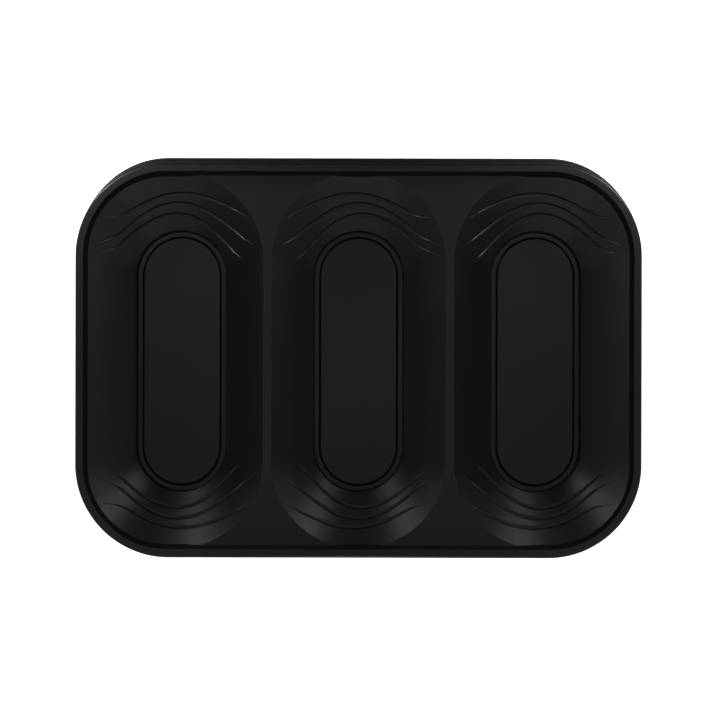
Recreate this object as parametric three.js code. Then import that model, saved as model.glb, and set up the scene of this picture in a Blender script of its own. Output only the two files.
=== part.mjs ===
// Baguette tray: a rigid black thermoformed tray with three long troughs side by side.
// Units are millimetres, +X is along the tray, +Z is up and z = 0 is the surface it stands on.
//
// The real tray is one moulding. It is modelled as its nine regions, each a closed solid, which
// meet on shared vertical faces one sheet thick: the rim, the two dividers, and for each trough
// its wall and its floor.

import * as THREE from 'three';

// ---------------------------------------------------------------- driving dimensions

const SHEET = 1.0;                 // wall thickness of the formed sheet

const FLANGE_TOP = 50;             // height of the rim's flat top
const DECK_TOP = 41;               // height of the dividers' flat tops
const WALL_FOOT = 5.5;             // height at which the sloped trough wall ends in a steep step
const RING_TOP = SHEET;            // inside height of the foot ring
const PANEL_TOP = 2.8;             // inside height of the raised floor panel

const DECK_HALF_X = 193.0;         // outline of the deck, where the rim's inner wall stands
const DECK_HALF_Y = 131.75;
const DECK_CORNER = 58.0;          // its corner radius

const RIM_DRAFT = 1.9;             // how far the rim's inner wall leans out over its height
const RIM_WIDTH = 7.4;             // deck outline to the rim's outer edge, without its flares
const REAR_FLARE = 4.6;            // extra width of the skirt along the +Y side
const FRONT_FLARE = 0.9;           // and along the -Y side
const FLARE_POWER = 2.6;           // how fast the flare dies away round the corners
const SHOULDER_WIDTH = 1.3;        // rounding of the rim's outer edge: across the flange
const SHOULDER_DROP = 1.6;         // and down the skirt

// The skirt below the shoulder as [share of the flare, depth below the flange]. Where it flares
// it has two fine steps, and elsewhere it is upright.
const SKIRT_STEPS = [[0.38, 2.0], [0.46, 3.8], [0.92, 4.2], [1, 6.0]];

const TROUGH_PITCH = 130.4;        // between neighbouring trough centres
const MOUTH_RADIUS = 62.6;         // half width of a trough at deck level
const MOUTH_CENTRE_Y = 71.3;       // centre of the mouth's round end
const FOOT_RADIUS = 33.4;          // half width of a trough at the foot of its sloped wall
const FOOT_CENTRE_Y = 62.9;        // centre of that outline's round end
const FOOT_RUN = 1.2;              // plan width of the steep step from the wall to the foot ring
const RING_WIDTH = 3.3;            // flat width of the foot ring
const PANEL_RUN = 1.4;             // plan width of the step from the ring up to the panel
const PANEL_SETBACK = 0.5;         // how far that step's underside lies further in than its top

const ARC_STEPS = 12;              // facets in each quarter of a round end
const CLIP_STEPS = 4;              // facets across the part of an end that the rim cuts off

// Three wave-shaped ledges cross each trough's round ends. A point is [angle, fall]: the angle in
// degrees round the end, from +X, and how far down the wall the ledge starts, 0 at the deck and 1
// at the foot. A ledge is widest half way between its first and last points, and dies away at them.
const WAVES = [
  [[31, 0.052], [38, 0.217], [47, 0.31], [62, 0.351], [92, 0.325], [121, 0.264], [137, 0.176], [150, 0.052]],
  [[12, 0.094], [21, 0.312], [31, 0.446], [50, 0.512], [90, 0.491], [133, 0.508], [156, 0.369], [169, 0.136]],
  [[5, 0.136], [13, 0.365], [24, 0.551], [50, 0.66], [90, 0.68], [140, 0.767], [167, 0.604], [179, 0.219]],
];
const LEDGE_WIDTH = 0.058;         // greatest width of a ledge, as a share of the wall
const CREASE_WIDTH = 0.02;         // width that its rows keep where the ledge has died away
const RISER_SHARE = 0.3;           // share of a ledge's width that its riser takes
const LEDGE_FADE = 0.5;            // how late a ledge thins out: lower keeps it wide for longer

const BLACK = new THREE.Color(0.012, 0.012, 0.0125);

// ---------------------------------------------------------------- small helpers

const { degToRad, radToDeg, lerp } = THREE.MathUtils;

const mirrorY = ([x, y]) => [x, -y];

const plasticMaterial = () => new THREE.MeshStandardMaterial({
  color: BLACK,
  roughness: 0.4,
  metalness: 0,
});

// A closed surface through rings of points, every ring with the same number of points. With
// caps the first and last ring are filled from their own centres, and otherwise the last ring
// joins the first.
function loftRings(rings, capped) {
  const count = rings[0].length;
  const positions = rings.flat();
  const triangles = [];
  const links = capped ? rings.length - 1 : rings.length;
  for (let ring = 0; ring < links; ring += 1) {
    const here = ring * count;
    const next = ((ring + 1) % rings.length) * count;
    for (let i = 0; i < count; i += 1) {
      const j = (i + 1) % count;
      triangles.push([here + i, here + j, next + j]);
      triangles.push([here + i, next + j, next + i]);
    }
  }
  if (capped) {
    const last = (rings.length - 1) * count;
    const firstCentre = positions.push(ringCentre(rings[0])) - 1;
    const lastCentre = positions.push(ringCentre(rings.at(-1))) - 1;
    for (let i = 0; i < count; i += 1) {
      const j = (i + 1) % count;
      triangles.push([firstCentre, j, i]);
      triangles.push([lastCentre, last + i, last + j]);
    }
  }
  return closedGeometry(positions, triangles);
}

function ringCentre(ring) {
  const box = new THREE.Box2().setFromPoints(ring.map(([x, y]) => new THREE.Vector2(x, y)));
  const middle = box.getCenter(new THREE.Vector2());
  return [middle.x, middle.y, ring[0][2]];
}

// Turns the faces outwards if the enclosed volume comes out negative.
function closedGeometry(positions, triangles) {
  let volume = 0;
  for (const [a, b, c] of triangles) {
    const [pa, pb, pc] = [a, b, c].map((i) => new THREE.Vector3(...positions[i]));
    volume += pa.dot(pb.cross(pc));
  }
  const outward = volume > 0 ? triangles : triangles.map(([a, b, c]) => [a, c, b]);
  const geometry = new THREE.BufferGeometry();
  geometry.setAttribute('position', new THREE.Float32BufferAttribute(positions.flat(), 3));
  geometry.setIndex(outward.flat());
  geometry.computeVertexNormals();
  return geometry;
}

function namedMesh(name, geometry) {
  const mesh = new THREE.Mesh(geometry, plasticMaterial());
  mesh.name = name;
  return mesh;
}

// ---------------------------------------------------------------- outlines in plan

const CORNER_X = DECK_HALF_X - DECK_CORNER;
const CORNER_Y = DECK_HALF_Y - DECK_CORNER;
const WALL_RISE = DECK_TOP - WALL_FOOT;
const RIM_LEAN = RIM_DRAFT / (FLANGE_TOP - DECK_TOP);

// Beyond this angle round a mouth's end the rim's inner wall cuts the end off.
const CLIP_ANGLE = radToDeg(Math.asin((DECK_HALF_Y - MOUTH_CENTRE_Y) / MOUTH_RADIUS));

// A round end of the mouth or of the foot ring, at an angle in degrees from +X. end is +1 or -1
// for the +Y or -Y end.
function endPoint(radius, centreY, angle, end) {
  const turn = degToRad(angle);
  return [radius * Math.cos(turn), end * (centreY + radius * Math.sin(turn))];
}

const mouthPoint = (angle, end) => endPoint(MOUTH_RADIUS, MOUTH_CENTRE_Y, angle, end);
const footPoint = (angle, end, inset = 0) => endPoint(FOOT_RADIUS - inset, FOOT_CENTRE_Y, angle, end);

// The nearest point of the deck outline, its outward normal, and how far outside it a point is.
function nearestDeckEdge([x, y]) {
  const across = Math.max(Math.abs(x) - CORNER_X, 0);
  const along = Math.max(Math.abs(y) - CORNER_Y, 0);
  const length = Math.hypot(across, along);
  const normal = [Math.sign(x) * across / length, Math.sign(y) * along / length];
  const outside = length - DECK_CORNER;
  return { base: [x - normal[0] * outside, y - normal[1] * outside], normal, outside };
}

// Where a sloped wall meets the rim's leaning inner wall: the share of the way down the wall,
// slightly negative where the wall rises past the deck before it gets there.
function rimMeeting(mouth, foot, troughX) {
  let share = 0;
  for (let round = 0; round < 12; round += 1) {
    const place = [lerp(mouth[0], foot[0], share) + troughX, lerp(mouth[1], foot[1], share)];
    const { normal, outside } = nearestDeckEdge(place);
    const gap = outside + RIM_LEAN * WALL_RISE * share;
    const inwards = (mouth[0] - foot[0]) * normal[0] + (mouth[1] - foot[1]) * normal[1];
    share += gap / (inwards - RIM_LEAN * WALL_RISE);
  }
  return share;
}

// Angles of the sections round one end of a trough, from its +X side to its -X side.
function endAngles() {
  const parts = [
    [0, CLIP_ANGLE, ARC_STEPS],
    [CLIP_ANGLE, 180 - CLIP_ANGLE, CLIP_STEPS],
    [180 - CLIP_ANGLE, 180, ARC_STEPS],
  ];
  const angles = parts.flatMap(([from, to, steps]) => (
    Array.from({ length: steps }, (_, i) => from + (to - from) * i / steps)
  ));
  return [...angles, 180];
}

// The sections of a trough, anticlockwise from its +X side. corner is -1, 0 or +1 for the left,
// centre or right trough: the outer two have one side along the tray's end. A section starts on
// the deck, or on the rim's inner wall where that comes first, and atRim marks those and the
// corners between. Mouth and foot points are relative to the trough's centre.
function troughSections(corner) {
  const sections = [];
  for (const end of [1, -1]) {
    const angles = end > 0 ? endAngles() : endAngles().reverse();
    for (const angle of angles) {
      const mouth = mouthPoint(angle, end);
      const foot = footPoint(angle, end);
      const clipped = angle > CLIP_ANGLE && angle < 180 - CLIP_ANGLE;
      const clipCorner = angle === CLIP_ANGLE || angle === 180 - CLIP_ANGLE;
      const besideRim = clipped || (corner > 0 && angle < 90) || (corner < 0 && angle > 90);
      const start = besideRim ? rimMeeting(mouth, foot, corner * TROUGH_PITCH) : 0;
      sections.push({ angle, end, mouth, foot, start, atRim: besideRim || clipCorner });
    }
  }
  return sections;
}

// The point where a section starts, in plan and height, on the tray.
function startPoint({ mouth, foot, start }, troughX) {
  const x = lerp(mouth[0], foot[0], start) + troughX;
  return [x, lerp(mouth[1], foot[1], start), DECK_TOP - WALL_RISE * start];
}

// ---------------------------------------------------------------- trough walls

// Where a wave-shaped ledge starts at an angle, and how much of its full width it has there.
function ledgeAt(wave, angle) {
  const first = wave[0];
  const last = wave.at(-1);
  if (angle <= first[0] || angle >= last[0]) {
    return { fall: angle <= first[0] ? first[1] : last[1], strength: 0 };
  }
  const next = wave.findIndex(([a]) => a > angle);
  const [a0, f0] = wave[next - 1];
  const [a1, f1] = wave[next];
  const slope = (k) => {
    const before = wave[Math.max(k - 1, 0)];
    const after = wave[Math.min(k + 1, wave.length - 1)];
    return (after[1] - before[1]) / (after[0] - before[0]);
  };
  const s = (angle - a0) / (a1 - a0);
  const span = a1 - a0;
  const fall = f0 * (1 + 2 * s) * (1 - s) ** 2 + span * slope(next - 1) * s * (1 - s) ** 2
    + f1 * s * s * (3 - 2 * s) + span * slope(next) * s * s * (s - 1);
  const along = (angle - first[0]) / (last[0] - first[0]);
  return { fall, strength: Math.sin(Math.PI * along) ** LEDGE_FADE };
}

// The rows of one section of the wall, from its start to the foot, as pairs: the share of the way
// in towards the foot, and the share of the way down.
function sectionRows(waves, angle, start) {
  const rows = [[start, start]];
  for (const wave of waves) {
    const { fall, strength } = ledgeAt(wave, angle);
    const end = fall + CREASE_WIDTH + LEDGE_WIDTH * strength;
    const riserFoot = fall + (end - fall) * RISER_SHARE;
    rows.push([fall, fall]);
    rows.push([riserFoot, riserFoot + (end - riserFoot) * strength]);
    rows.push([end, end]);
  }
  rows.push([1, 1]);
  return rows;
}

// The same waves seen in a mirror, left to right.
function mirroredWaves(waves) {
  return waves.map((wave) => wave.map(([angle, fall]) => [180 - angle, fall]).reverse());
}

// One closed skin of a trough's wall: its inside rows from the deck down to the foot, then its
// outside rows from the foot back up. The left trough's waves mirror those of the other two.
function troughWall(name, corner) {
  const waves = corner < 0 ? mirroredWaves(WAVES) : WAVES;
  const columns = troughSections(corner).map(({ angle, mouth, foot, start }) => {
    const run = Math.hypot(foot[0] - mouth[0], foot[1] - mouth[1]);
    const slopeLength = Math.hypot(run, WALL_RISE);
    const out = SHEET * WALL_RISE / slopeLength;
    const down = SHEET * run / slopeLength;
    const outX = out * (mouth[0] - foot[0]) / run;
    const outY = out * (mouth[1] - foot[1]) / run;
    const inside = sectionRows(waves, angle, start).map(([inward, fall]) => [
      lerp(mouth[0], foot[0], inward),
      lerp(mouth[1], foot[1], inward),
      DECK_TOP - WALL_RISE * fall,
    ]);
    const outside = inside.map(([x, y, z], row) => {
      const atEdge = row === 0 || row === inside.length - 1;
      return atEdge ? [x, y, z - SHEET] : [x + outX, y + outY, z - down];
    });
    return [...inside, ...outside.reverse()];
  });
  const rings = columns[0].map((_, row) => columns.map((column) => column[row]));
  return namedMesh(name, loftRings(rings, false));
}

// ---------------------------------------------------------------- trough floors

// The steep step at the foot of the wall, the foot ring and the raised panel inside it: the top
// surface from the panel outwards, and then the underside back in.
function troughFloor(name, corner) {
  const ringInner = FOOT_RUN + RING_WIDTH;
  const panelEdge = ringInner + PANEL_RUN;
  const section = [
    [panelEdge, PANEL_TOP],
    [ringInner, RING_TOP],
    [FOOT_RUN, RING_TOP],
    [0, WALL_FOOT],
    [0, WALL_FOOT - SHEET],
    [-0.7 * SHEET, WALL_FOOT - 1.3 * SHEET],
    [FOOT_RUN - SHEET, 0],
    [ringInner + PANEL_SETBACK, 0],
    [panelEdge + PANEL_SETBACK, PANEL_TOP - SHEET],
  ];
  const sections = troughSections(corner);
  const rings = section.map(([inset, z]) => (
    sections.map(({ angle, end }) => [...footPoint(angle, end, inset), z])
  ));
  return namedMesh(name, loftRings(rings, true));
}

// ---------------------------------------------------------------- dividers

// The flat plate between two troughs: narrow along its middle, and flared into a plateau at both
// ends by the troughs' round corners. side is -1 for the left divider and +1 for the right.
function divider(name, side) {
  const leftTroughX = side < 0 ? -TROUGH_PITCH : 0;
  const rightTroughX = leftTroughX + TROUGH_PITCH;
  const angles = endAngles().filter((angle) => angle <= CLIP_ANGLE);
  const quarter = angles.map((angle) => mouthPoint(angle, 1));
  const leftEdge = quarter.map(([x, y]) => [leftTroughX + x, y]);
  const rightEdge = quarter.map(([x, y]) => [rightTroughX - x, y]);
  const outline = [
    ...[...leftEdge].reverse(),
    ...leftEdge.map(mirrorY),
    ...rightEdge.map(mirrorY).reverse(),
    ...rightEdge,
  ];
  const shape = new THREE.Shape(outline.map(([x, y]) => new THREE.Vector2(x, y)));
  const geometry = new THREE.ExtrudeGeometry(shape, { depth: SHEET, bevelEnabled: false });
  const mesh = namedMesh(name, geometry);
  mesh.position.z = DECK_TOP - SHEET;
  return mesh;
}

// ---------------------------------------------------------------- rim

// Where the rim's inner wall stands on the troughs and dividers, anticlockwise from the tray's
// +X end, as points of the deck outline with their outward normals and the height of the foot.
function rimStations() {
  const stations = [];
  for (const end of [1, -1]) {
    for (const side of [end, 0, -end]) {
      const sections = troughSections(side).filter((section) => section.end === end);
      for (const section of sections.filter(({ atRim }) => atRim)) {
        const [x, y, foot] = startPoint(section, side * TROUGH_PITCH);
        stations.push({ ...nearestDeckEdge([x, y]), foot });
      }
    }
  }
  return stations;
}

// The rim's rounded outer edge, from the flange to the skirt, with its outermost point at width.
function shoulder(width, top) {
  return [0, 45, 90].map((turn) => [
    width - SHOULDER_WIDTH * (1 - Math.sin(degToRad(turn))),
    top - SHOULDER_DROP * (1 - Math.cos(degToRad(turn))),
  ]);
}

// The rim's section as pairs of outward offset and height: up the inner wall, over the flat
// flange and the shoulder, down the skirt, and back along the underside. flare is how far the
// skirt spreads there, and foot is the height at which the inner wall ends.
function rimSection(flare, foot) {
  const footOffset = RIM_LEAN * (foot - DECK_TOP);
  const skirt = (width, top) => SKIRT_STEPS.map(([share, depth]) => [width + share * flare, top - depth]);
  const outer = skirt(RIM_WIDTH, FLANGE_TOP);
  const inner = skirt(RIM_WIDTH - SHEET, FLANGE_TOP - SHEET).slice(0, -1);
  const edge = [outer.at(-1)[0] - SHEET, outer.at(-1)[1]];
  return [
    [footOffset, foot],
    [RIM_DRAFT, FLANGE_TOP],
    ...shoulder(RIM_WIDTH, FLANGE_TOP),
    ...outer,
    edge,
    ...inner.reverse(),
    ...shoulder(RIM_WIDTH - SHEET, FLANGE_TOP - SHEET).reverse(),
    [RIM_DRAFT + SHEET, FLANGE_TOP - SHEET],
    [footOffset + 1.1 * SHEET, foot - 0.6 * SHEET],
    [footOffset, foot - SHEET],
  ];
}

function rim(name) {
  const columns = rimStations().map(({ base, normal, foot }) => {
    const widest = normal[1] > 0 ? REAR_FLARE : FRONT_FLARE;
    const flare = widest * Math.abs(normal[1]) ** FLARE_POWER;
    return rimSection(flare, foot).map(([offset, z]) => (
      [base[0] + offset * normal[0], base[1] + offset * normal[1], z]
    ));
  });
  const rings = columns[0].map((_, row) => columns.map((column) => column[row]));
  return namedMesh(name, loftRings(rings, false));
}

// ---------------------------------------------------------------- assembly

function trough(side, name) {
  const group = new THREE.Group();
  group.add(troughWall(`${name}_trough_wall`, side));
  group.add(troughFloor(`${name}_trough_floor`, side));
  group.position.x = side * TROUGH_PITCH;
  return group;
}

const tray = new THREE.Group();
tray.add(rim('rim'));
tray.add(divider('left_divider', -1));
tray.add(divider('right_divider', +1));
tray.add(trough(-1, 'left'));
tray.add(trough(0, 'centre'));
tray.add(trough(+1, 'right'));

// The two flares differ, so the tray is moved to put the middle of its box on the origin.
tray.position.y = (FRONT_FLARE - REAR_FLARE) / 2;

export default tray;
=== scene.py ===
"""Baguette tray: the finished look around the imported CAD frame.

The tray is one black thermoformed moulding. Each CAD region is replaced by a fine sheet of the
same shape, with rounded edges where the real sheet bends. Lengths are in metres.
"""

import math

import bmesh
import bpy
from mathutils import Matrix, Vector


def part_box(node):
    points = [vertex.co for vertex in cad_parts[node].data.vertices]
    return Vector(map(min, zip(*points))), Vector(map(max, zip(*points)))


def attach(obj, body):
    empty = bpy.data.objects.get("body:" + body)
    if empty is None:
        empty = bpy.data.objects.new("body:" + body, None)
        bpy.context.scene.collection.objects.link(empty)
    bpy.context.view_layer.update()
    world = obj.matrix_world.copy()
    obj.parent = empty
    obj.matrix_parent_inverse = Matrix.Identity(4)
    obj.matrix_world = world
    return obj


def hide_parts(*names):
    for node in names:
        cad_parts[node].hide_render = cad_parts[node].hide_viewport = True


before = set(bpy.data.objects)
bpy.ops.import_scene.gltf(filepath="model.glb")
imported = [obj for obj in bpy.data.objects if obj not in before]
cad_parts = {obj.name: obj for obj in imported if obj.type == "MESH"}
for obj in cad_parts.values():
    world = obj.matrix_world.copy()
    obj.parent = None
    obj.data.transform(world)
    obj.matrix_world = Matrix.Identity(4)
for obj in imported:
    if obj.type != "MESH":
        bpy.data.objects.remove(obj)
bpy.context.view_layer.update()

MM = 0.001


# ------------------------------------------------------------------ sizes, from the CAD boxes

def box_size(node):
    low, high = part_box(node)
    return Vector(high) - Vector(low)


def box_centre(node):
    low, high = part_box(node)
    return (Vector(low) + Vector(high)) / 2


WALL_BOX = box_size("centre_trough_wall")
FLOOR_BOX = box_size("centre_trough_floor")
RIM_BOX = box_size("rim")

SHEET = box_size("left_divider").z              # thickness of the formed sheet
CENTRE_Y = box_centre("centre_trough_wall").y   # the troughs' middle
TROUGH_PITCH = box_centre("right_trough_wall").x - box_centre("centre_trough_wall").x
DECK_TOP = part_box("left_divider")[1][2]
FLANGE_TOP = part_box("rim")[1][2]
WALL_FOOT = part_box("centre_trough_floor")[1][2]
MOUTH_RADIUS = WALL_BOX.x / 2
HEEL = 0.7 * SHEET                              # the floor's solid reaches this far under the wall
FOOT_RADIUS = FLOOR_BOX.x / 2 - HEEL
FOOT_CENTRE_Y = FLOOR_BOX.y / 2 - FLOOR_BOX.x / 2
RIM_FRONT = CENTRE_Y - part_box("rim")[0][1]      # from the troughs' middle to the rim's edges
RIM_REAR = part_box("rim")[1][1] - CENTRE_Y
DECK_HALF_X = TROUGH_PITCH + MOUTH_RADIUS
DECK_HALF_Y = WALL_BOX.y / 2

# Sizes that no box holds.
MOUTH_CENTRE_Y = 71.3 * MM    # centre of a mouth's round end, from the troughs' middle
DECK_CORNER = 58.0 * MM       # corner radius of the deck's outline
RIM_DRAFT = 1.9 * MM          # how far the rim's inner wall leans out between deck and flange
FLARE_POWER = 2.6             # how soon the skirt's flare fades away from the front and rear
SHOULDER_WIDTH = 1.3 * MM
SHOULDER_DROP = 1.6 * MM
PANEL_TOP = 2.8 * MM
FOOT_RUN = 1.2 * MM           # from the wall's foot in to the flat of the foot ring
RING_WIDTH = 3.3 * MM
PANEL_RUN = 1.0 * MM          # run of the step between the foot ring and the panel
PANEL_SETBACK = 0.5 * MM      # how far that step is set back on the underside
PANEL_BORDER = 3.0 * MM       # between the panel's step and the one flat face inside it
HEEL_DROP = 1.3 * SHEET       # from a wall's foot down to where its underside turns in
RIM_HEEL = (1.1 * SHEET, 0.6 * SHEET)   # outer corner of the rim wall's foot: out and down from it

# The skirt's corners: (share of the flare, depth below the flange).
SKIRT_STEPS = [
    (0.34, 1.7 * MM),
    (0.52, 3.9 * MM),
    (0.92, 4.0 * MM),
    (1, 6.0 * MM),
]

RIM_WIDTH = RIM_BOX.x / 2 - DECK_HALF_X
FRONT_FLARE = RIM_FRONT - DECK_HALF_Y - RIM_WIDTH
REAR_FLARE = RIM_REAR - DECK_HALF_Y - RIM_WIDTH
CORNER_X = DECK_HALF_X - DECK_CORNER
CORNER_Y = DECK_HALF_Y - DECK_CORNER
CLIP_ANGLE = math.degrees(math.asin((DECK_HALF_Y - MOUTH_CENTRE_Y) / MOUTH_RADIUS))
WALL_RISE = DECK_TOP - WALL_FOOT
RIM_LEAN = RIM_DRAFT / (FLANGE_TOP - DECK_TOP)

# Edge radii of the bent sheet.
MOUTH_FILLET = 1.0 * MM
FOOT_FILLET = 0.5 * MM
PANEL_FILLET = 1.2 * MM
RIM_INNER_FILLET = 0.5 * MM
SKIRT_FILLET = 0.2 * MM
LEDGE_FILLETS = (0.2 * MM, 0.3 * MM, 0.3 * MM)   # a ledge's upper edge, inner corner and nose
FILLET_REACH = 0.45      # the most of a neighbouring side that a rounded corner takes up

# Margins of the walls' sheets.
SEAM_MARGIN = 0.6 * MM   # flat of the foot ring that belongs to the wall's sheet
LIP_FLAT = 0.3 * MM      # flat margin of the wall's sheet outside its rounded lip
LIP_FADE = 12            # degrees over which a mouth's rounded lip dies away at its cut-off end

# Facets.
ARC_STEPS = 40           # in each part of a round end beside the deck
CLIP_STEPS = 10          # in the part of a round end that the rim cuts off
SIDE_STEPS = 12          # along a straight side
SHOULDER_STEPS = 8
FILLET_STEPS = 4
MEETING_ROUNDS = 12      # of the search for where a wall meets the rim
SHARP_ANGLE = 32         # degrees; a stronger bend between two faces stays a sharp edge
FACE_WEIGHT = 80         # how much larger faces count in the shading at an edge
SAME_ANGLE = 1e-6        # degrees; a smaller difference is only rounding
SAME_PLACE = 1e-6        # metres; closer vertices are merged
NO_LENGTH = 1e-7         # metres; a shorter side has no direction

# Wave-shaped ledges: [angle in degrees round the end, fall down the wall from 0 to 1].
WAVES = [
    [
        [31, 0.052], [38, 0.217], [47, 0.31], [62, 0.351],
        [92, 0.325], [121, 0.264], [137, 0.176], [150, 0.052],
    ],
    [
        [12, 0.094], [21, 0.312], [31, 0.446], [50, 0.512],
        [90, 0.491], [133, 0.508], [156, 0.369], [169, 0.136],
    ],
    [
        [5, 0.136], [13, 0.365], [24, 0.551], [50, 0.66],
        [90, 0.68], [140, 0.767], [167, 0.604], [179, 0.219],
    ],
]
LEDGE_WIDTH = 0.058   # the most that a ledge takes of the wall's slope, beside its crease
CREASE_WIDTH = 0.02   # what is left of it where the ledge has died away
RISER_SHARE = 0.3     # share of a ledge that its steep riser takes
LEDGE_FADE = 0.9      # how fast a ledge narrows towards its ends
TREAD_FLATNESS = 3    # a tread tilts only where the ledge has less than a third of its strength


# ------------------------------------------------------------------ outlines in plan

def end_point(radius, centre_y, angle, end):
    """A point of a round end, at an angle in degrees from +X. end is 1 or -1, for +Y or -Y."""
    turn = math.radians(angle)
    return Vector((radius * math.cos(turn), end * (centre_y + radius * math.sin(turn))))


def nearest_deck_edge(point):
    """The nearest point of the deck outline, its outward normal, and the distance outside it."""
    across = max(abs(point.x) - CORNER_X, 0)
    along = max(abs(point.y) - CORNER_Y, 0)
    length = math.hypot(across, along)
    normal = Vector((math.copysign(across, point.x), math.copysign(along, point.y))) / length
    outside = length - DECK_CORNER
    return point - normal * outside, normal, outside


def rim_meeting(mouth, foot, trough_x):
    """The share of the way down a sloped wall at which it meets the rim's leaning inner wall."""
    share = 0.0
    shift = Vector((trough_x, 0))
    for _ in range(MEETING_ROUNDS):
        _, normal, outside = nearest_deck_edge(mouth.lerp(foot, share) + shift)
        gap = outside + RIM_LEAN * WALL_RISE * share
        share += gap / ((mouth - foot).dot(normal) - RIM_LEAN * WALL_RISE)
    return share


def end_angles():
    """Angles of the sections round one end of a trough, from its +X side to its -X side."""
    parts = (
        (0, CLIP_ANGLE, ARC_STEPS),
        (CLIP_ANGLE, 180 - CLIP_ANGLE, CLIP_STEPS),
        (180 - CLIP_ANGLE, 180, ARC_STEPS),
    )
    angles = [low + (high - low) * i / steps for low, high, steps in parts for i in range(steps)]
    return angles + [180]


def lip_share(angle):
    """How much of the mouth's rounded lip is left at an angle, near the cut-off end."""
    from_cut = CLIP_ANGLE - min(angle, 180 - angle)
    t = min(max(from_cut / LIP_FADE, 0), 1)
    return t * t * (3 - 2 * t)


def section(angle, corner, mouth, foot):
    """One section of a trough. It starts on the deck, or on the rim's wall where that is nearer."""
    clipped = CLIP_ANGLE + SAME_ANGLE < angle < 180 - CLIP_ANGLE - SAME_ANGLE
    beside_rim = clipped or (corner > 0 and angle < 90) or (corner < 0 and angle > 90)
    return {
        "angle": angle,
        "mouth": mouth,
        "foot": foot,
        "start": rim_meeting(mouth, foot, corner * TROUGH_PITCH) if beside_rim else 0.0,
        "lip": 0.0 if beside_rim else lip_share(angle),
        "beside_rim": beside_rim,
    }


def end_sections(corner, end):
    """Sections round one end of a trough, anticlockwise. end is 1 or -1, for +Y or -Y."""
    sections = []
    for angle in end_angles():
        mouth = end_point(MOUTH_RADIUS, MOUTH_CENTRE_Y, angle, end)
        foot = end_point(FOOT_RADIUS, FOOT_CENTRE_Y, angle, end)
        sections.append(section(angle, corner, mouth, foot))
    return sections if end > 0 else sections[::-1]


def side_sections(corner, angle):
    """Sections along a trough's straight side, from its +Y end to its -Y end.

    The side is named by its angle, 0 for +X or 180 for -X."""
    side = 1 if angle == 0 else -1
    sections = []
    for i in range(1, SIDE_STEPS):
        share = 1 - 2 * i / SIDE_STEPS
        mouth = Vector((side * MOUTH_RADIUS, MOUTH_CENTRE_Y * share))
        foot = Vector((side * FOOT_RADIUS, FOOT_CENTRE_Y * share))
        sections.append(section(angle, corner, mouth, foot))
    return sections


def trough_sections(corner):
    """All sections of a trough, anticlockwise. corner is -1, 0 or 1, for its place in the tray."""
    left_side = side_sections(corner, 180)
    right_side = side_sections(corner, 0)[::-1]
    return end_sections(corner, 1) + left_side + end_sections(corner, -1) + right_side


def foot_inset(part, inset):
    """A section's foot point, drawn in towards the middle of the floor."""
    centre = Vector((0, math.copysign(min(abs(part["foot"].y), FOOT_CENTRE_Y), part["foot"].y)))
    return part["foot"] + (centre - part["foot"]).normalized() * inset


# ------------------------------------------------------------------ bent sheets

def round_corners(points, radii):
    """Replaces each inner corner of a line of points by a short curve of the given radius."""
    line = [points[0].copy()]
    for k in range(1, len(points) - 1):
        corner = points[k]
        before = points[k - 1] - corner
        after = points[k + 1] - corner
        reach = 0.0
        if before.length > NO_LENGTH and after.length > NO_LENGTH:
            turn = math.pi - before.angle(after)
            shorter = min(before.length, after.length)
            reach = min(radii[k] * math.tan(turn / 2), FILLET_REACH * shorter)
        start = corner + before.normalized() * reach
        end = corner + after.normalized() * reach
        for i in range(FILLET_STEPS + 1):
            t = i / FILLET_STEPS
            line.append(start * (1 - t) ** 2 + corner * (2 * t * (1 - t)) + end * t ** 2)
    line.append(points[-1].copy())
    return line


def placed(name, bm):
    """Puts a finished bmesh into the scene as an object."""
    mesh = bpy.data.meshes.new(name)
    bm.to_mesh(mesh)
    bm.free()
    piece = bpy.data.objects.new(name, mesh)
    bpy.context.scene.collection.objects.link(piece)
    return piece


def sheet_object(name, columns, wrap_rows=True):
    """A mesh through columns of points, the last column joined to the first.

    With wrap_rows each column is a loop, and otherwise both ends are filled with a flat face."""
    bm = bmesh.new()
    grid = [[bm.verts.new(point) for point in column] for column in columns]
    rows = len(grid[0])
    for c, column in enumerate(grid):
        following = grid[(c + 1) % len(grid)]
        for r in range(rows if wrap_rows else rows - 1):
            s = (r + 1) % rows
            bm.faces.new((column[r], following[r], following[s], column[s]))
    if not wrap_rows:
        bm.faces.new([column[0] for column in grid])
        bm.faces.new([column[-1] for column in grid])
    bmesh.ops.remove_doubles(bm, verts=bm.verts, dist=SAME_PLACE)
    bmesh.ops.dissolve_degenerate(bm, edges=bm.edges, dist=NO_LENGTH)
    bmesh.ops.recalc_face_normals(bm, faces=bm.faces)
    for face in bm.faces:
        face.smooth = True
    for edge in bm.edges:
        if edge.is_manifold and edge.calc_face_angle() > math.radians(SHARP_ANGLE):
            edge.smooth = False
    piece = placed(name, bm)
    weighted = piece.modifiers.new("edge normals", "WEIGHTED_NORMAL")
    weighted.keep_sharp = True
    weighted.weight = FACE_WEIGHT
    return piece


def raised(point, z, shift=(0.0, 0.0)):
    """A plan point, moved by a shift and put at a height.

    Plan points are counted from the middle of a trough, or of the three troughs for the rim."""
    return Vector((point.x + shift[0], point.y + shift[1] + CENTRE_Y, z))


# ------------------------------------------------------------------ trough walls

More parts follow.
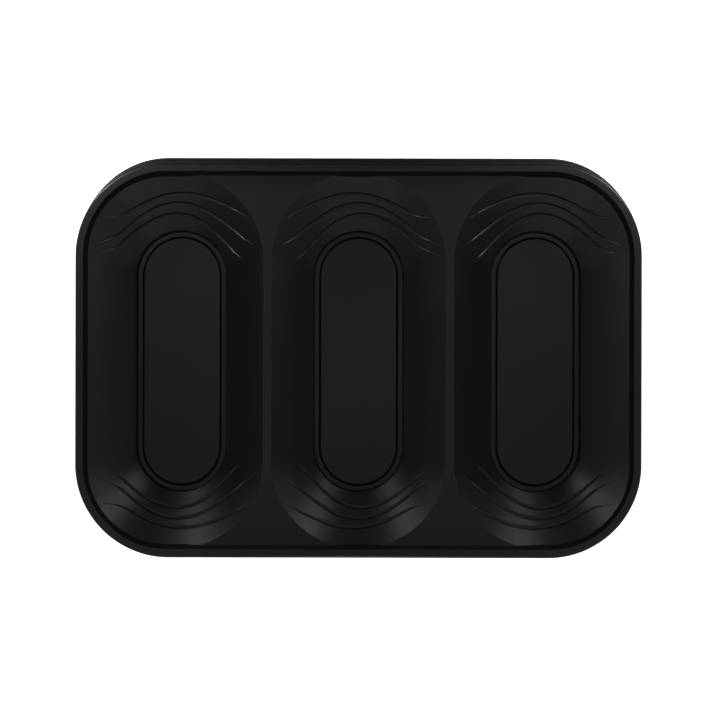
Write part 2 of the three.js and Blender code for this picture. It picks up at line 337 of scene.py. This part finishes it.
def ledge_at(wave, angle):
    """Where a ledge starts at an angle, and its strength there, from 0 at its ends to 1.

    The wave is a smooth cubic curve through its points."""
    first = wave[0]
    last = wave[-1]
    if angle <= first[0]:
        return first[1], 0.0
    if angle >= last[0]:
        return last[1], 0.0
    k = next(i for i, point in enumerate(wave) if point[0] > angle)

    def slope(i):
        before = wave[max(i - 1, 0)]
        after = wave[min(i + 1, len(wave) - 1)]
        return (after[1] - before[1]) / (after[0] - before[0])

    (a0, f0), (a1, f1) = wave[k - 1], wave[k]
    span = a1 - a0
    s = (angle - a0) / span
    fall = f0 * (1 + 2 * s) * (1 - s) ** 2 + span * slope(k - 1) * s * (1 - s) ** 2
    fall += f1 * s * s * (3 - 2 * s) + span * slope(k) * s * s * (s - 1)
    along = (angle - first[0]) / (last[0] - first[0])
    return fall, math.sin(math.pi * along) ** LEDGE_FADE


def mirrored_waves(waves):
    """The same waves, seen in a mirror that swaps the +X and -X sides of a trough."""
    return [[[180 - angle, fall] for angle, fall in wave][::-1] for wave in waves]


def ledge_corners(waves, angle):
    """The corners of the three ledges, as (share of the way in, share of the way down) pairs."""
    corners = []
    for wave in waves:
        fall, strength = ledge_at(wave, angle)
        end = fall + CREASE_WIDTH + LEDGE_WIDTH * strength
        riser_foot = fall + (end - fall) * RISER_SHARE
        corners.append((fall, fall))
        flat = min(TREAD_FLATNESS * strength, 1)
        corners.append((riser_foot, riser_foot + (end - riser_foot) * flat))
        corners.append((end, end))
    return corners


def lip_point(part):
    """Where a mouth's rounded lip meets the flat deck, outside the mouth point."""
    mouth, foot = part["mouth"], part["foot"]
    slope_angle = math.atan2(WALL_RISE, (mouth - foot).length)
    reach = MOUTH_FILLET * math.tan(slope_angle / 2) + LIP_FLAT
    return mouth + (mouth - foot).normalized() * reach * part["lip"]


def wall_column(waves, part):
    """One section of the sheet from the deck down to the foot ring and back along its underside."""
    mouth, foot, lip, start = part["mouth"], part["foot"], part["lip"], part["start"]
    run = (mouth - foot).length
    slant = math.hypot(run, WALL_RISE)
    outward = (mouth - foot) / run
    out = outward * SHEET * WALL_RISE / slant
    down = SHEET * run / slant
    mitre = outward * SHEET * math.tan(math.atan2(WALL_RISE, run) / 2) * lip
    high = DECK_TOP - WALL_RISE * start
    edge = mouth.lerp(foot, start)
    lip_start = lip_point(part) if lip > 0 else edge

    top = [raised(lip_start, high), raised(edge, high)]
    under = [raised(lip_start, high - SHEET), raised(edge + mitre, high - SHEET)]
    radii = [0, MOUTH_FILLET * lip]
    for k, (inward, fall) in enumerate(ledge_corners(waves, part["angle"])):
        place = mouth.lerp(foot, inward)
        z = DECK_TOP - WALL_RISE * fall
        top.append(raised(place, z))
        under.append(raised(place + out, z - down))
        radii.append(LEDGE_FILLETS[k % 3])
    seam = foot_inset(part, FOOT_RUN + SEAM_MARGIN)
    top += [raised(foot, WALL_FOOT), raised(foot_inset(part, FOOT_RUN), SHEET), raised(seam, SHEET)]
    heel = raised(foot_inset(part, -HEEL), WALL_FOOT - HEEL_DROP)
    under += [heel, raised(foot_inset(part, FOOT_RUN - SHEET), 0), raised(seam, 0)]
    radii += [FOOT_FILLET, FOOT_FILLET, 0]
    return round_corners(top, radii) + round_corners(under, radii)[::-1]


def trough_wall(name, corner):
    """The sloped wall of a trough with its ledges. The left trough has the mirrored waves."""
    waves = mirrored_waves(WAVES) if corner < 0 else WAVES
    columns = [wall_column(waves, part) for part in trough_sections(corner)]
    offset = Vector((corner * TROUGH_PITCH, 0, 0))
    return sheet_object(name, [[point + offset for point in column] for column in columns])


# ------------------------------------------------------------------ trough floors

def trough_floor(name, corner):
    """The foot ring's flat and the raised panel, with the ring's inner step between them."""
    seam = FOOT_RUN + SEAM_MARGIN
    inner = FOOT_RUN + RING_WIDTH
    edge = inner + PANEL_RUN
    middle = edge + PANEL_BORDER
    top = [(seam, SHEET), (inner, SHEET), (edge, PANEL_TOP), (middle, PANEL_TOP)]
    under = [
        (seam, 0),
        (inner + PANEL_SETBACK, 0),
        (edge + PANEL_SETBACK, PANEL_TOP - SHEET),
        (middle, PANEL_TOP - SHEET),
    ]
    radii = [0, PANEL_FILLET, PANEL_FILLET, 0]
    offset = (corner * TROUGH_PITCH, 0)
    columns = []
    for part in trough_sections(corner):
        above = [raised(foot_inset(part, inset), z, offset) for inset, z in top]
        below = [raised(foot_inset(part, inset), z, offset) for inset, z in under]
        columns.append(round_corners(above, radii)[::-1] + round_corners(below, radii))
    return sheet_object(name, columns, wrap_rows=False)


# ------------------------------------------------------------------ dividers

def divider(name, side):
    """The flat plate between two troughs, out to where their rounded lips begin."""
    left_x = min(side, 0) * TROUGH_PITCH
    right_x = left_x + TROUGH_PITCH
    last = CLIP_ANGLE + SAME_ANGLE
    quarter = [part for part in end_sections(0, 1) if part["angle"] < last][::-1]
    rear = [lip_point(part) for part in quarter]
    line = [lip_point(part) for part in side_sections(0, 0)]
    front = [Vector((p.x, -p.y)) for p in rear][::-1]
    edge = rear + line + front

    bm = bmesh.new()
    rows = []
    low = Vector((0, 0, SHEET))
    for p in edge:
        left = raised(p, DECK_TOP, (left_x, 0))
        right = raised(Vector((-p.x, p.y)), DECK_TOP, (right_x, 0))
        rows.append([bm.verts.new(v) for v in (left, right, right - low, left - low)])
    for a, b in zip(rows, rows[1:]):
        for i in range(4):
            j = (i + 1) % 4
            bm.faces.new((a[i], a[j], b[j], b[i]))
    bm.faces.new(rows[0])
    bm.faces.new(rows[-1])
    bmesh.ops.recalc_face_normals(bm, faces=bm.faces)
    return placed(name, bm)


# ------------------------------------------------------------------ rim

def rim_stations():
    """Where the rim's inner wall stands, anticlockwise from the +X side of the tray.

    Each is a point of the deck outline, its outward normal and the height of the wall's foot."""
    runs = [(corner, end_sections(corner, 1)) for corner in (1, 0, -1)]
    runs.append((-1, side_sections(-1, 180)))
    runs += [(corner, end_sections(corner, -1)) for corner in (-1, 0, 1)]
    runs.append((1, side_sections(1, 0)[::-1]))
    stations = []
    for corner, run in runs:
        for part in run:
            from_side = min(part["angle"], 180 - part["angle"])
            at_cut = abs(CLIP_ANGLE - from_side) < SAME_ANGLE
            if part["beside_rim"] or at_cut:
                place = part["mouth"].lerp(part["foot"], part["start"])
                place.x += corner * TROUGH_PITCH
                base, normal, _ = nearest_deck_edge(place)
                stations.append((base, normal, DECK_TOP - WALL_RISE * part["start"]))
    return stations


def shoulder(width, top):
    """The rounded outer edge of the flange: a quarter of an ellipse that ends upright."""
    points = []
    for i in range(SHOULDER_STEPS + 1):
        turn = math.radians(90 * i / SHOULDER_STEPS)
        out = width - SHOULDER_WIDTH * (1 - math.sin(turn))
        points.append((out, top - SHOULDER_DROP * (1 - math.cos(turn)), 0))
    return points


def rim_corners(flare, foot):
    """Section of the rim as (outward, height, radius): inside, flange, shoulder, stepped skirt."""
    foot_out = RIM_LEAN * (foot - DECK_TOP)
    top = [
        (foot_out, foot, 0),
        (RIM_DRAFT, FLANGE_TOP, RIM_INNER_FILLET),
        *shoulder(RIM_WIDTH, FLANGE_TOP),
    ]
    top += [
        (RIM_WIDTH + share * flare, FLANGE_TOP - depth, SKIRT_FILLET)
        for share, depth in SKIRT_STEPS
    ]
    under = [
        (foot_out, foot - SHEET, 0),
        (foot_out + RIM_HEEL[0], foot - RIM_HEEL[1], 0),
        (RIM_DRAFT + SHEET, FLANGE_TOP - SHEET, RIM_INNER_FILLET),
        *shoulder(RIM_WIDTH - SHEET, FLANGE_TOP - SHEET),
    ]
    under += [
        (RIM_WIDTH - SHEET + share * flare, FLANGE_TOP - depth - SHEET, SKIRT_FILLET)
        for share, depth in SKIRT_STEPS[:-1]
    ]
    share, depth = SKIRT_STEPS[-1]
    under.append((RIM_WIDTH - SHEET + share * flare, FLANGE_TOP - depth, 0))
    return top, under


def rim(name):
    """The rim, all the way round. Its skirt flares along the front and the rear."""
    columns = []
    for base, normal, foot in rim_stations():
        widest = REAR_FLARE if normal.y > 0 else FRONT_FLARE
        flare = widest * abs(normal.y) ** FLARE_POWER
        loops = []
        for corners in rim_corners(flare, foot):
            places = [raised(base + normal * out, z) for out, z, _ in corners]
            loops.append(round_corners(places, [radius for _, _, radius in corners]))
        columns.append(loops[0] + loops[1][::-1])
    return sheet_object(name, columns)


# ------------------------------------------------------------------ black plastic

CLOUD_SCALE = 22                # noise cells per metre of the faint cloudiness
GLOSS_SCALE = 60                # of the uneven gloss
GRAIN_SCALE = 2600              # of the fine grain
NOISE_SPAN = (0.3, 0.7)         # the noise values that are spread over a full range
DARK = (0.0038, 0.0038, 0.0039, 1)
LESS_DARK = (0.0052, 0.0052, 0.0054, 1)
ROUGHNESS_SPAN = (0.385, 0.415)
RIPPLE = (0.1 * MM, 0.15)       # depth and strength of the slow unevenness
GRAIN = (0.01 * MM, 0.2)        # of the fine grain
PLASTIC_IOR = 1.49


def link(tree, source, target):
    tree.links.new(source, target)


def noise(tree, vector, scale, detail=2.0, roughness=0.5):
    node = tree.nodes.new("ShaderNodeTexNoise")
    node.inputs["Scale"].default_value = scale
    node.inputs["Detail"].default_value = detail
    node.inputs["Roughness"].default_value = roughness
    link(tree, vector, node.inputs["Vector"])
    return node.outputs["Fac"]


def value_map(tree, source, span):
    """Spreads a noise over a span of values."""
    node = tree.nodes.new("ShaderNodeMapRange")
    node.inputs["From Min"].default_value = NOISE_SPAN[0]
    node.inputs["From Max"].default_value = NOISE_SPAN[1]
    node.inputs["To Min"].default_value = span[0]
    node.inputs["To Max"].default_value = span[1]
    link(tree, source, node.inputs["Value"])
    return node.outputs["Result"]


def bump(tree, height, relief, normal=None):
    """A relief, given as (depth, strength), on top of the normal that is handed in."""
    node = tree.nodes.new("ShaderNodeBump")
    node.inputs["Distance"].default_value = relief[0]
    node.inputs["Strength"].default_value = relief[1]
    link(tree, height, node.inputs["Height"])
    if normal is not None:
        link(tree, normal, node.inputs["Normal"])
    return node.outputs["Normal"]


def black_plastic(name):
    """Vacuum-formed black polypropylene: satin, almost even, with a faint grain."""
    material = bpy.data.materials.new(name)
    material.use_nodes = True
    tree = material.node_tree
    shader = tree.nodes["Principled BSDF"]
    place = tree.nodes.new("ShaderNodeTexCoord").outputs["Object"]

    tone = tree.nodes.new("ShaderNodeValToRGB")
    for element, position, color in zip(tone.color_ramp.elements, NOISE_SPAN, (DARK, LESS_DARK)):
        element.position = position
        element.color = color
    link(tree, noise(tree, place, CLOUD_SCALE, detail=3), tone.inputs["Fac"])
    link(tree, tone.outputs["Color"], shader.inputs["Base Color"])

    uneven = noise(tree, place, GLOSS_SCALE, detail=4, roughness=0.6)
    link(tree, value_map(tree, uneven, ROUGHNESS_SPAN), shader.inputs["Roughness"])
    shader.inputs["IOR"].default_value = PLASTIC_IOR

    ripple = bump(tree, noise(tree, place, CLOUD_SCALE, detail=1), RIPPLE)
    grain = bump(tree, noise(tree, place, GRAIN_SCALE, detail=2), GRAIN, ripple)
    link(tree, grain, shader.inputs["Normal"])
    return material


# ------------------------------------------------------------------ pieces

plastic = black_plastic("black_plastic")


def finish_piece(piece, node):
    """Makes a piece plastic and lets it stand for its CAD node."""
    piece.data.materials.append(plastic)
    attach(piece, "root")
    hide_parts(node)


finish_piece(rim("rim_moulding"), "rim")
finish_piece(divider("left_divider_plate", -1), "left_divider")
finish_piece(divider("right_divider_plate", 1), "right_divider")
for side, label in ((-1, "left"), (0, "centre"), (1, "right")):
    finish_piece(trough_wall(f"{label}_wall_sheet", side), f"{label}_trough_wall")
    finish_piece(trough_floor(f"{label}_floor_sheet", side), f"{label}_trough_floor")


# ------------------------------------------------------------------ floor, camera and light

FLOOR_HALF = 6.0
SENSOR_WIDTH = 36               # millimetres
CAMERA_HEIGHT = 1.048           # above the rim
CAMERA_OFFSET_Y = -17.7 * MM    # from the troughs' middle
CAMERA_ROLL = 0.13              # degrees
FRAME_WIDTH = 508.752 * MM      # width of the picture at the rim's height

# How far the picture's middle lies from the troughs' middle at that height, to +X and +Y.
FRAME_OFFSET = (1.09523 * MM, 0.28264 * MM)


def pale_floor():
    """A floor that glows white for the camera and isn't seen in the plastic."""
    bm = bmesh.new()
    corners = [(-1, -1), (1, -1), (1, 1), (-1, 1)]
    bm.faces.new([bm.verts.new((x * FLOOR_HALF, y * FLOOR_HALF, 0)) for x, y in corners])
    floor = placed("studio_floor", bm)
    material = bpy.data.materials.new("studio_floor")
    material.use_nodes = True
    shader = material.node_tree.nodes["Principled BSDF"]
    shader.inputs["Base Color"].default_value = (0.9, 0.9, 0.9, 1)
    shader.inputs["Roughness"].default_value = 0.9
    shader.inputs["Specular IOR Level"].default_value = 0.1
    shader.inputs["Emission Color"].default_value = (1, 1, 1, 1)
    shader.inputs["Emission Strength"].default_value = 1.0
    floor.data.materials.append(material)
    floor.visible_diffuse = False
    floor.visible_glossy = False


def overhead_camera():
    """A camera straight above. Its lens is shifted, because it stands a little in front."""
    data = bpy.data.cameras.new("camera")
    data.sensor_width = SENSOR_WIDTH
    data.lens = SENSOR_WIDTH * CAMERA_HEIGHT / FRAME_WIDTH
    data.shift_x = FRAME_OFFSET[0] / FRAME_WIDTH
    data.shift_y = (FRAME_OFFSET[1] - CAMERA_OFFSET_Y) / FRAME_WIDTH
    camera = bpy.data.objects.new("camera", data)
    camera.location = (0, CENTRE_Y + CAMERA_OFFSET_Y, FLANGE_TOP + CAMERA_HEIGHT)
    camera.rotation_euler.z = math.radians(CAMERA_ROLL)
    bpy.context.scene.collection.objects.link(camera)
    bpy.context.scene.camera = camera


def white_surroundings():
    """A white background that the camera sees and that gives no light."""
    world = bpy.data.worlds.new("studio")
    world.use_nodes = True
    background = world.node_tree.nodes["Background"]
    background.inputs["Color"].default_value = (1, 1, 1, 1)
    background.inputs["Strength"].default_value = 1.0
    world.cycles_visibility.diffuse = False
    world.cycles_visibility.glossy = False
    bpy.context.scene.world = world
    bpy.context.scene.view_settings.view_transform = "Standard"


# Soft lights: [name, degrees round from +X, degrees up, distance, diameter, watts].
# Each stands on both sides of the tray, but for those straight behind, above or in front.
SOFT_LIGHTS = [
    ["side", -10, 24, 1.0, 0.2, 0.853],
    ["side_low", 15, 8, 1.0, 0.2, 0.269],
    ["back_low", 40, 24, 1.0, 0.2, 0.590],
    ["back_high", 40, 62, 1.0, 0.2, 0.423],
    ["back_near", 43, 18, 0.387, 0.05, 0.215],
    ["front_low", -40, 24, 1.0, 0.2, 0.404],
    ["front_high", -40, 62, 1.0, 0.2, 0.216],
    ["front_inner", -65, 24, 1.0, 0.2, 0.528],
    ["front_middle", -90, 24, 1.0, 0.2, 0.475],
    ["back_middle", 90, 24, 1.0, 0.2, 0.109],
    ["overhead", 90, 90, 1.0, 0.2, 0.189],
    ["front_skirt", -90, -2, 0.6, 0.04, 0.3],
    ["corner_skirt", 40, -2, 0.6, 0.04, 0.9],
]
TABLE_GLOW = 0.1               # watts that come back up from the floor, under the tray
TABLE_GLOW_HEIGHT = 0.5 * MM   # just above the floor


def soft_light(name, place, target, size, power):
    """An elliptical soft light at a place, aimed at a target, that the camera doesn't see."""
    data = bpy.data.lights.new(name, "AREA")
    data.shape = "ELLIPSE"
    data.size = size[0]
    data.size_y = size[1]
    data.energy = power
    light = bpy.data.objects.new(name, data)
    light.location = place
    light.visible_camera = False
    light.rotation_euler = (target - place).to_track_quat("-Z", "Y").to_euler()
    bpy.context.scene.collection.objects.link(light)


def soft_lights():
    """The lights listed above, aimed at the troughs' middle, and the glow under the tray."""
    middle = Vector((0, CENTRE_Y, DECK_TOP))
    for name, azimuth, elevation, distance, diameter, power in SOFT_LIGHTS:
        out = distance * math.cos(math.radians(elevation))
        x = out * math.cos(math.radians(azimuth))
        y = out * math.sin(math.radians(azimuth))
        z = distance * math.sin(math.radians(elevation))
        sides = (1,) if abs(azimuth) == 90 else (1, -1)
        for side in sides:
            place = middle + Vector((side * x, y, z))
            soft_light(f"{name}_{side}", place, middle, (diameter, diameter), power)
    table = Vector((0, CENTRE_Y, TABLE_GLOW_HEIGHT))
    soft_light("table_glow", table, middle, (RIM_BOX.x, RIM_BOX.y), TABLE_GLOW)


pale_floor()
overhead_camera()
white_surroundings()
soft_lights()
